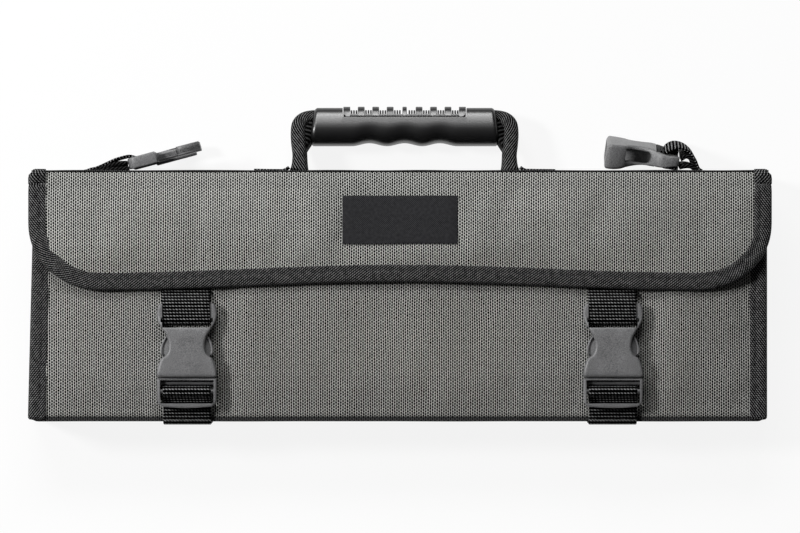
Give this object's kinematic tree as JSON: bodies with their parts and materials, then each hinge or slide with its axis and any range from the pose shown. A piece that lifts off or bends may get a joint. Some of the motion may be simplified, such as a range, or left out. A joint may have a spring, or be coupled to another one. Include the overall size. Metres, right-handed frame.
{
  "type": "knife case",
  "caption": "Soft knife case of woven nylon with a flap lid, side-release buckles, a gripped handle and shoulder strap tabs.",
  "frame": {"origin": "centre of the flat back, on the surface that the case lies on", "axes": "+X along the case to the right, +Y from the bottom edge to the handle, +Z out of the front with the flap and buckles"},
  "size_m": [0.464, 0.1977, 0.0554],
  "materials": {
    "outer_fabric": "woven ballistic nylon",
    "gusset_fabric": "plain woven nylon",
    "stiffening_board": "plain sheet",
    "lining": "padded nylon lining",
    "edge_tape": "diagonal twill tape",
    "label_cloth": "fine woven cloth",
    "webbing": "ribbed polypropylene webbing",
    "buckle_plastic": "finely grained acetal",
    "grip_rubber": "soft moulded rubber"
  },
  "bodies": {
    "case": {"back_panel": "outer_fabric", "back_board": "stiffening_board", "back_lining": "lining", "spine_wall": "outer_fabric", "bottom_wall": "outer_fabric", "left_gusset": "gusset_fabric", "right_gusset": "gusset_fabric", "front_panel": "outer_fabric", "front_board": "stiffening_board", "front_lining": "lining", "lower_divider": "lining", "upper_divider": "lining", "left_back_tape": "edge_tape", "right_back_tape": "edge_tape", "left_front_tape": "edge_tape", "right_front_tape": "edge_tape", "front_top_tape": "edge_tape", "spine_webbing": "webbing", "left_handle_anchor": "webbing", "right_handle_anchor": "webbing", "left_strap_anchor": "webbing", "right_strap_anchor": "webbing"},
    "flap": {"flap_shell": "outer_fabric", "flap_board": "stiffening_board", "flap_lining": "lining", "flap_tape": "edge_tape", "label_patch": "label_cloth", "left_flap_strap": "webbing", "right_flap_strap": "webbing"},
    "left_socket_half": {"left_socket": "buckle_plastic"},
    "right_socket_half": {"right_socket": "buckle_plastic"},
    "left_strap": {"left_lower_strap": "webbing"},
    "right_strap": {"right_lower_strap": "webbing"},
    "left_ladder": {"left_ladder_frame": "buckle_plastic"},
    "right_ladder": {"right_ladder_frame": "buckle_plastic"},
    "left_outer_spring": {"left_outer_prong": "buckle_plastic"},
    "left_inner_spring": {"left_inner_prong": "buckle_plastic"},
    "right_outer_spring": {"right_outer_prong": "buckle_plastic"},
    "right_inner_spring": {"right_inner_prong": "buckle_plastic"},
    "handle": {"handle_webbing": "webbing", "grip_sleeve": "grip_rubber", "grip_insert": "grip_rubber"},
    "left_tab_strap": {"left_tab": "webbing"},
    "shoulder_ladder": {"shoulder_ladder_frame": "buckle_plastic"},
    "shoulder_front_spring": {"shoulder_front_prong": "buckle_plastic"},
    "shoulder_back_spring": {"shoulder_back_prong": "buckle_plastic"},
    "right_tab_strap": {"right_tab": "webbing"},
    "shoulder_socket_half": {"shoulder_socket": "buckle_plastic"}
  },
  "joints": [
    {"name": "flap_hinge", "type": "hinge", "parent": "case", "child": "flap", "pos_m": [0, 0.0766, 0.0494], "axis": [-1, 0, 0], "range_deg": [0, 180]},
    {"name": "left_socket_swing", "type": "hinge", "parent": "flap", "child": "left_socket_half", "pos_m": [-0.133, -0.0083, 0.0482], "axis": [-1, 0, 0], "range_deg": [0, 35], "deforming": ["left_flap_strap"]},
    {"name": "left_strap_swing", "type": "hinge", "parent": "case", "child": "left_strap", "pos_m": [-0.133, -0.0782, 0.0451], "axis": [1, 0, 0], "range_deg": [0, 150], "deforming": ["left_lower_strap"]},
    {"name": "left_buckle_release", "type": "slide", "parent": "left_strap", "child": "left_ladder", "axis": [0, 1, 0], "range_m": [-0.03, 0], "deforming": ["left_outer_prong", "left_inner_prong"]},
    {"name": "left_outer_prong_squeeze", "type": "hinge", "parent": "left_ladder", "child": "left_outer_spring", "pos_m": [-0.142, -0.0502, 0.0499], "axis": [0, 0, -1], "range_deg": [0, 8], "stiffness_Nm_per_rad": 0.05},
    {"name": "left_inner_prong_squeeze", "type": "hinge", "parent": "left_ladder", "child": "left_inner_spring", "pos_m": [-0.124, -0.0502, 0.0499], "axis": [0, 0, 1], "range_deg": [0, 8], "stiffness_Nm_per_rad": 0.05},
    {"name": "right_socket_swing", "type": "hinge", "parent": "flap", "child": "right_socket_half", "pos_m": [0.133, -0.0083, 0.0482], "axis": [-1, 0, 0], "range_deg": [0, 35], "deforming": ["right_flap_strap"]},
    {"name": "right_strap_swing", "type": "hinge", "parent": "case", "child": "right_strap", "pos_m": [0.133, -0.0782, 0.0451], "axis": [1, 0, 0], "range_deg": [0, 150], "deforming": ["right_lower_strap"]},
    {"name": "right_buckle_release", "type": "slide", "parent": "right_strap", "child": "right_ladder", "axis": [0, 1, 0], "range_m": [-0.03, 0], "deforming": ["right_outer_prong", "right_inner_prong"]},
    {"name": "right_outer_prong_squeeze", "type": "hinge", "parent": "right_ladder", "child": "right_outer_spring", "pos_m": [0.142, -0.0502, 0.0499], "axis": [0, 0, 1], "range_deg": [0, 8], "stiffness_Nm_per_rad": 0.05},
    {"name": "right_inner_prong_squeeze", "type": "hinge", "parent": "right_ladder", "child": "right_inner_spring", "pos_m": [0.124, -0.0502, 0.0499], "axis": [0, 0, -1], "range_deg": [0, 8], "stiffness_Nm_per_rad": 0.05},
    {"name": "handle_swing", "type": "hinge", "parent": "case", "child": "handle", "pos_m": [0.0029, 0.0793, 0.021], "axis": [-1, 0, 0], "range_deg": [-70, 45], "deforming": ["handle_webbing"]},
    {"name": "left_tab_swing", "type": "hinge", "parent": "case", "child": "left_tab_strap", "pos_m": [-0.196, 0.0801, 0.021], "axis": [0, 0, 1], "range_deg": [0, 70], "deforming": ["left_tab"]},
    {"name": "shoulder_ladder_turn", "type": "hinge", "parent": "left_tab_strap", "child": "shoulder_ladder", "pos_m": [-0.1606, 0.0859, 0.021], "axis": [0, 0, 1], "range_deg": [-12, 1]},
    {"name": "shoulder_front_prong_squeeze", "type": "hinge", "parent": "shoulder_ladder", "child": "shoulder_front_spring", "pos_m": [-0.15249, 0.08807, 0.03], "axis": [-0.2588, 0.9659, 0], "range_deg": [0, 8], "stiffness_Nm_per_rad": 0.05, "deforming": ["shoulder_front_prong"]},
    {"name": "shoulder_back_prong_squeeze", "type": "hinge", "parent": "shoulder_ladder", "child": "shoulder_back_spring", "pos_m": [-0.15249, 0.08807, 0.012], "axis": [0.2588, -0.9659, 0], "range_deg": [0, 8], "stiffness_Nm_per_rad": 0.05, "deforming": ["shoulder_back_prong"]},
    {"name": "right_tab_swing", "type": "hinge", "parent": "case", "child": "right_tab_strap", "pos_m": [0.187, 0.0801, 0.021], "axis": [0, 0, -1], "range_deg": [0, 70], "deforming": ["right_tab"]},
    {"name": "shoulder_socket_turn", "type": "hinge", "parent": "right_tab_strap", "child": "shoulder_socket_half", "pos_m": [0.1704, 0.0864, 0.021], "axis": [0, 0, -1], "range_deg": [0, 60]}
  ],
  "couplings": [
    {"joint": "left_inner_prong_squeeze", "follows": "left_outer_prong_squeeze", "ratio": 1},
    {"joint": "right_inner_prong_squeeze", "follows": "right_outer_prong_squeeze", "ratio": 1},
    {"joint": "shoulder_back_prong_squeeze", "follows": "shoulder_front_prong_squeeze", "ratio": 1}
  ]
}
